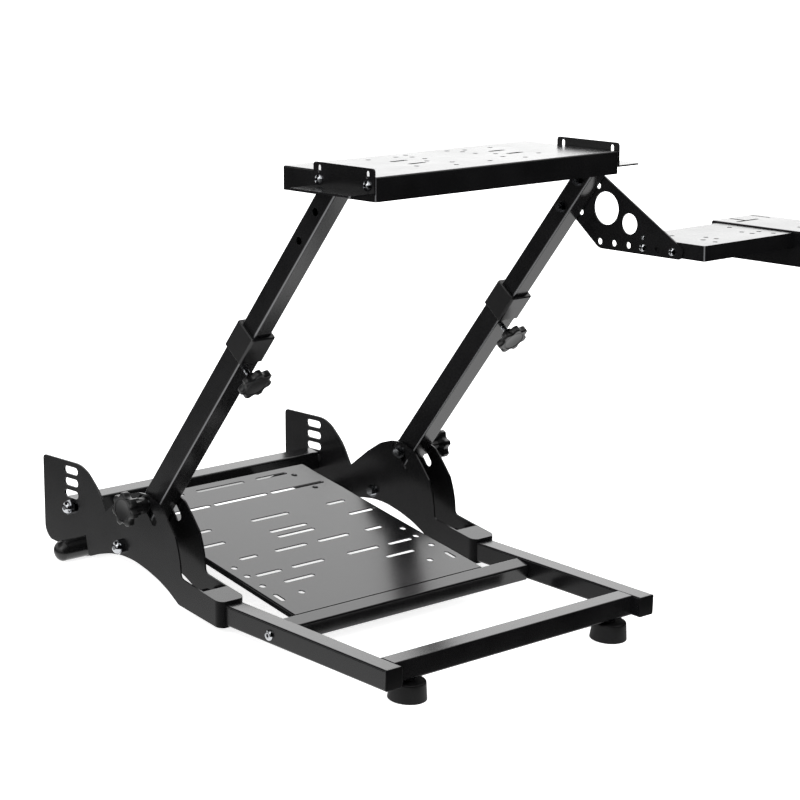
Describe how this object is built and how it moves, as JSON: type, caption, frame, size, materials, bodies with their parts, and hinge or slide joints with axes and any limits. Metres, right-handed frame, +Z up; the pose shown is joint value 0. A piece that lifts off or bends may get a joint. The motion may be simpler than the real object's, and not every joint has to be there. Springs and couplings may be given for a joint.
{
  "type": "racing wheel stand",
  "caption": "Folding tubular stand that holds a steering wheel base on a plate between two sloping arms, a pedal plate near the floor and a shifter tray at the right.",
  "frame": {"origin": "on the floor under the middle of the whole stand, tilt knobs and shifter channel included", "axes": "+X to the driver's right, +Y away from the driver, +Z up"},
  "size_m": [0.9356, 0.915, 0.7535],
  "materials": {
    "frame_coat": "satin black powder coat",
    "bracket_coat": "satin black powder coat",
    "arm_coat": "satin black powder coat",
    "plate_coat": "satin black powder coat",
    "zinc": "bright zinc plated screws",
    "collar_plastic": "moulded black plastic",
    "cap_plastic": "moulded black plastic",
    "knob_plastic": "moulded black plastic",
    "foot_rubber": "black rubber"
  },
  "bodies": {
    "base": {"rail_right": "frame_coat", "rail_left": "frame_coat", "rail_cap_right": "cap_plastic", "rail_cap_left": "cap_plastic", "bracket_right": "bracket_coat", "bracket_left": "bracket_coat", "ear_right": "frame_coat", "ear_left": "frame_coat", "rear_cap_right": "cap_plastic", "rear_cap_left": "cap_plastic", "pivot_bolt_right": "zinc", "pivot_bolt_left": "zinc", "deck_bolt_right": "zinc", "deck_bolt_left": "zinc", "rear_bolt_right": "zinc", "rear_bolt_left": "zinc", "front_foot_right": "foot_rubber", "front_foot_left": "foot_rubber", "front_crossbar": "frame_coat", "rear_tube": "frame_coat"},
    "pedal_deck": {"deck_bar": "frame_coat", "pedal_plate": "plate_coat", "rear_bar": "frame_coat"},
    "arms": {"lower_tube_right": "arm_coat", "lower_tube_left": "arm_coat", "collar_right": "collar_plastic", "collar_left": "collar_plastic", "lock_bolt_right": "zinc", "lock_bolt_left": "zinc"},
    "upper_frame": {"upper_tube_right": "arm_coat", "upper_tube_left": "arm_coat", "plate_angle_right": "plate_coat", "plate_angle_left": "plate_coat", "wheel_plate": "plate_coat", "shifter_bracket": "plate_coat", "shifter_tray": "plate_coat", "shifter_channel": "plate_coat", "shifter_bolt_lower": "zinc", "shifter_bolt_upper": "zinc"},
    "tilt_knob_r": {"tilt_knob_right": "knob_plastic"},
    "tilt_knob_l": {"tilt_knob_left": "knob_plastic"},
    "height_knob_r": {"height_knob_right": "knob_plastic"},
    "height_knob_l": {"height_knob_left": "knob_plastic"}
  },
  "joints": [
    {"name": "pedal_deck_hinge", "type": "hinge", "parent": "base", "child": "pedal_deck", "pos_m": [-0.13225, -0.15721, 0.03255], "axis": [1, 0, 0], "range_deg": [0, 6.5]},
    {"name": "arm_tilt", "type": "hinge", "parent": "base", "child": "arms", "pos_m": [-0.13225, 0.19814, 0.06307], "axis": [1, 0, 0], "range_deg": [-5.5, 17]},
    {"name": "height_slide", "type": "slide", "parent": "arms", "child": "upper_frame", "axis": [0, -0.5435, 0.8394], "range_m": [-0.15, 0.11]},
    {"name": "tilt_knob_right_turn", "type": "hinge", "parent": "arms", "child": "tilt_knob_r", "pos_m": [0.17275, 0.13973, 0.14912], "axis": [1, 0, 0], "continuous": true},
    {"name": "tilt_knob_left_turn", "type": "hinge", "parent": "arms", "child": "tilt_knob_l", "pos_m": [-0.43725, 0.13973, 0.14912], "axis": [-1, 0, 0], "continuous": true},
    {"name": "height_knob_right_turn", "type": "hinge", "parent": "arms", "child": "height_knob_r", "pos_m": [0.13305, -0.05123, 0.41138], "axis": [0, -0.8394, -0.5435], "continuous": true},
    {"name": "height_knob_left_turn", "type": "hinge", "parent": "arms", "child": "height_knob_l", "pos_m": [-0.39755, -0.05123, 0.41138], "axis": [0, -0.8394, -0.5435], "continuous": true}
  ]
}
